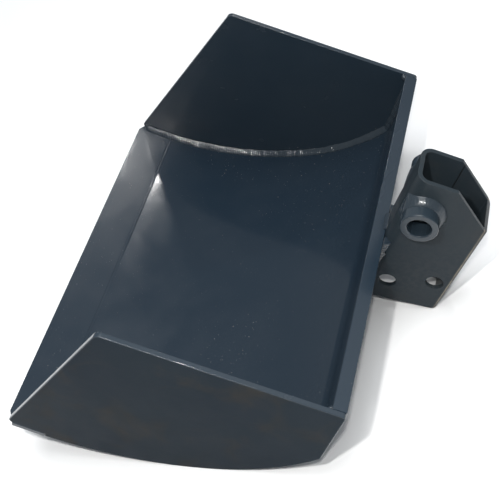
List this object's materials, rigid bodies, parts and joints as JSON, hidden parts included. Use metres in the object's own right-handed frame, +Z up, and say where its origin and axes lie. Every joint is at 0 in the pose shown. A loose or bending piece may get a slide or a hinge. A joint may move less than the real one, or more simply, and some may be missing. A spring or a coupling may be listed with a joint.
{
  "type": "excavator bucket",
  "caption": "Small welded digging bucket with a plain curved shell, flat end plates, a straight cutting edge and a hollow-section hanger with bored pin bushes.",
  "frame": {"origin": "on the ground under the middle of the overall box, with the bucket lying on its floor and on the outer lower corner of the hanger", "axes": "+Z up; +Y level, from the hanger towards the digging lip; +X along the width, parallel to the pins, towards the right end plate as seen from the hanger side"},
  "size_m": [0.5, 0.521, 0.2442],
  "materials": {
    "shell_paint": "gloss",
    "end_plate_paint": "gloss",
    "bar_paint": "gloss",
    "hanger_paint": "gloss",
    "bush_paint": "gloss",
    "weld_paint": "gloss"
  },
  "bodies": {
    "root": {"bucket_shell": "shell_paint", "left_end_plate": "end_plate_paint", "right_end_plate": "end_plate_paint", "cutting_edge": "shell_paint", "rear_rim_bar": "bar_paint", "hanger_tube": "hanger_paint", "left_pin_bush": "bush_paint", "right_pin_bush": "bush_paint", "left_end_weld": "weld_paint", "right_end_weld": "weld_paint", "cutting_edge_weld": "weld_paint", "left_rim_bar_weld": "weld_paint", "right_rim_bar_weld": "weld_paint", "rim_bar_seam_weld": "weld_paint", "left_bush_weld": "weld_paint", "right_bush_weld": "weld_paint", "left_hanger_weld": "weld_paint", "right_hanger_weld": "weld_paint", "hanger_top_weld": "weld_paint", "hanger_heel_weld": "weld_paint"}
  },
  "joints": []
}
